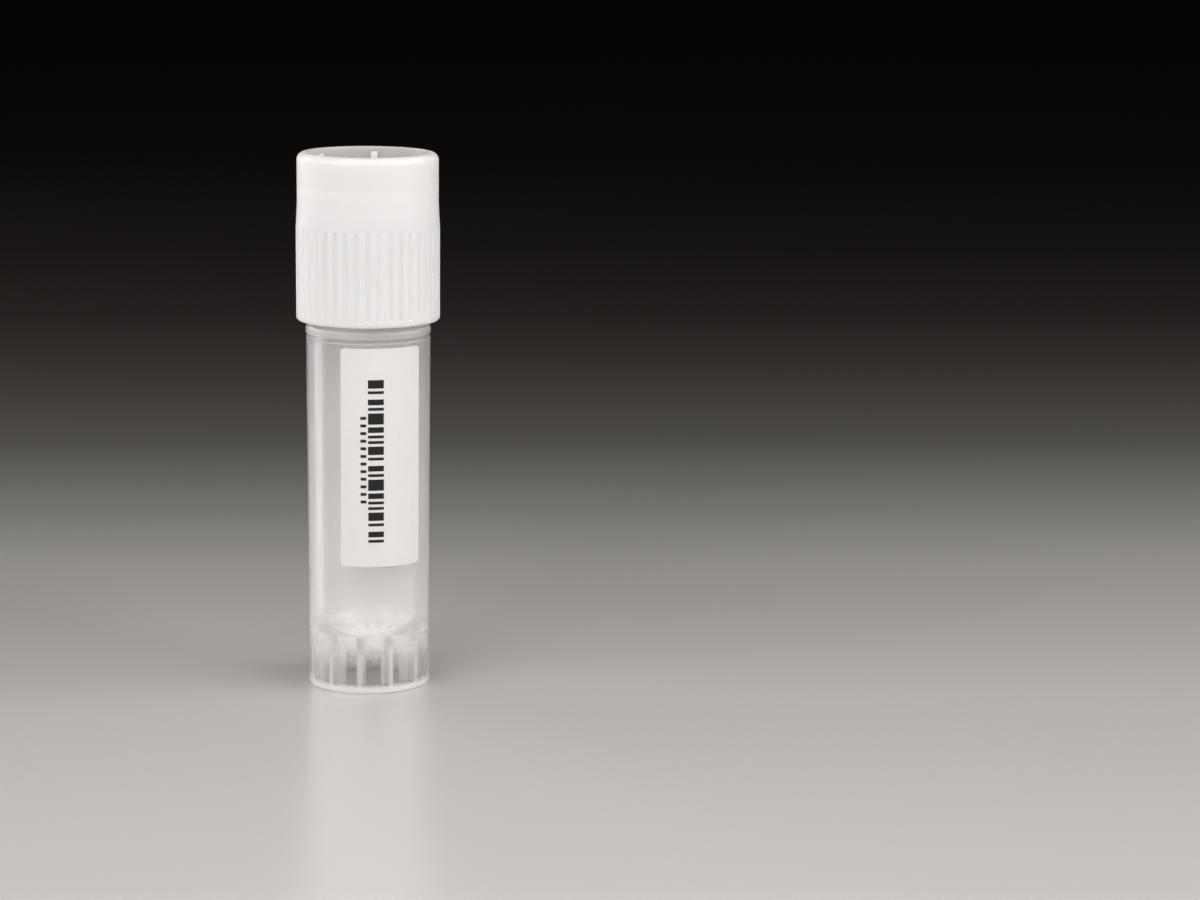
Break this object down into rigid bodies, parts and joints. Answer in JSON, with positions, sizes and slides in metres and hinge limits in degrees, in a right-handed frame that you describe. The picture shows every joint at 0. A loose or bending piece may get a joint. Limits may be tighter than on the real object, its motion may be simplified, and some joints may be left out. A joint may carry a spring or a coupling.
{
  "type": "cryovial",
  "caption": "self-standing screw-cap cryovial with a round-bottomed tube, a ribbed star foot, a knurled cap that unscrews, a gasket and a film label",
  "frame": {"origin": "on the vial's axis, on the plane that the foot stands on", "axes": "+Z along the axis towards the cap, -Y towards the side that carries the label's print, +X to the right of it"},
  "size_m": [0.013, 0.013, 0.0485],
  "materials": {
    "clear_polypropylene": "natural moulded polypropylene, clear to slightly milky",
    "white_polyethylene": "white moulded plastic, satin, slightly translucent",
    "silicone": "translucent silicone",
    "label_film": "white matt adhesive film with a black bar print"
  },
  "bodies": {
    "vial": {"vial_tube": "clear_polypropylene", "label": "label_film"},
    "seal": {"gasket": "silicone"},
    "cap": {"screw_cap": "white_polyethylene"}
  },
  "joints": [
    {"name": "cap_lift", "type": "slide", "parent": "vial", "child": "seal", "axis": [0, 0, 1], "range_m": [0, 0.003]},
    {"name": "cap_turn", "type": "hinge", "parent": "seal", "child": "cap", "pos_m": [0, 0, 0.04], "axis": [0, 0, 1], "range_deg": [0, 450]}
  ],
  "couplings": [
    {"joint": "cap_turn", "follows": "cap_lift", "rad_per_m": 2618}
  ]
}
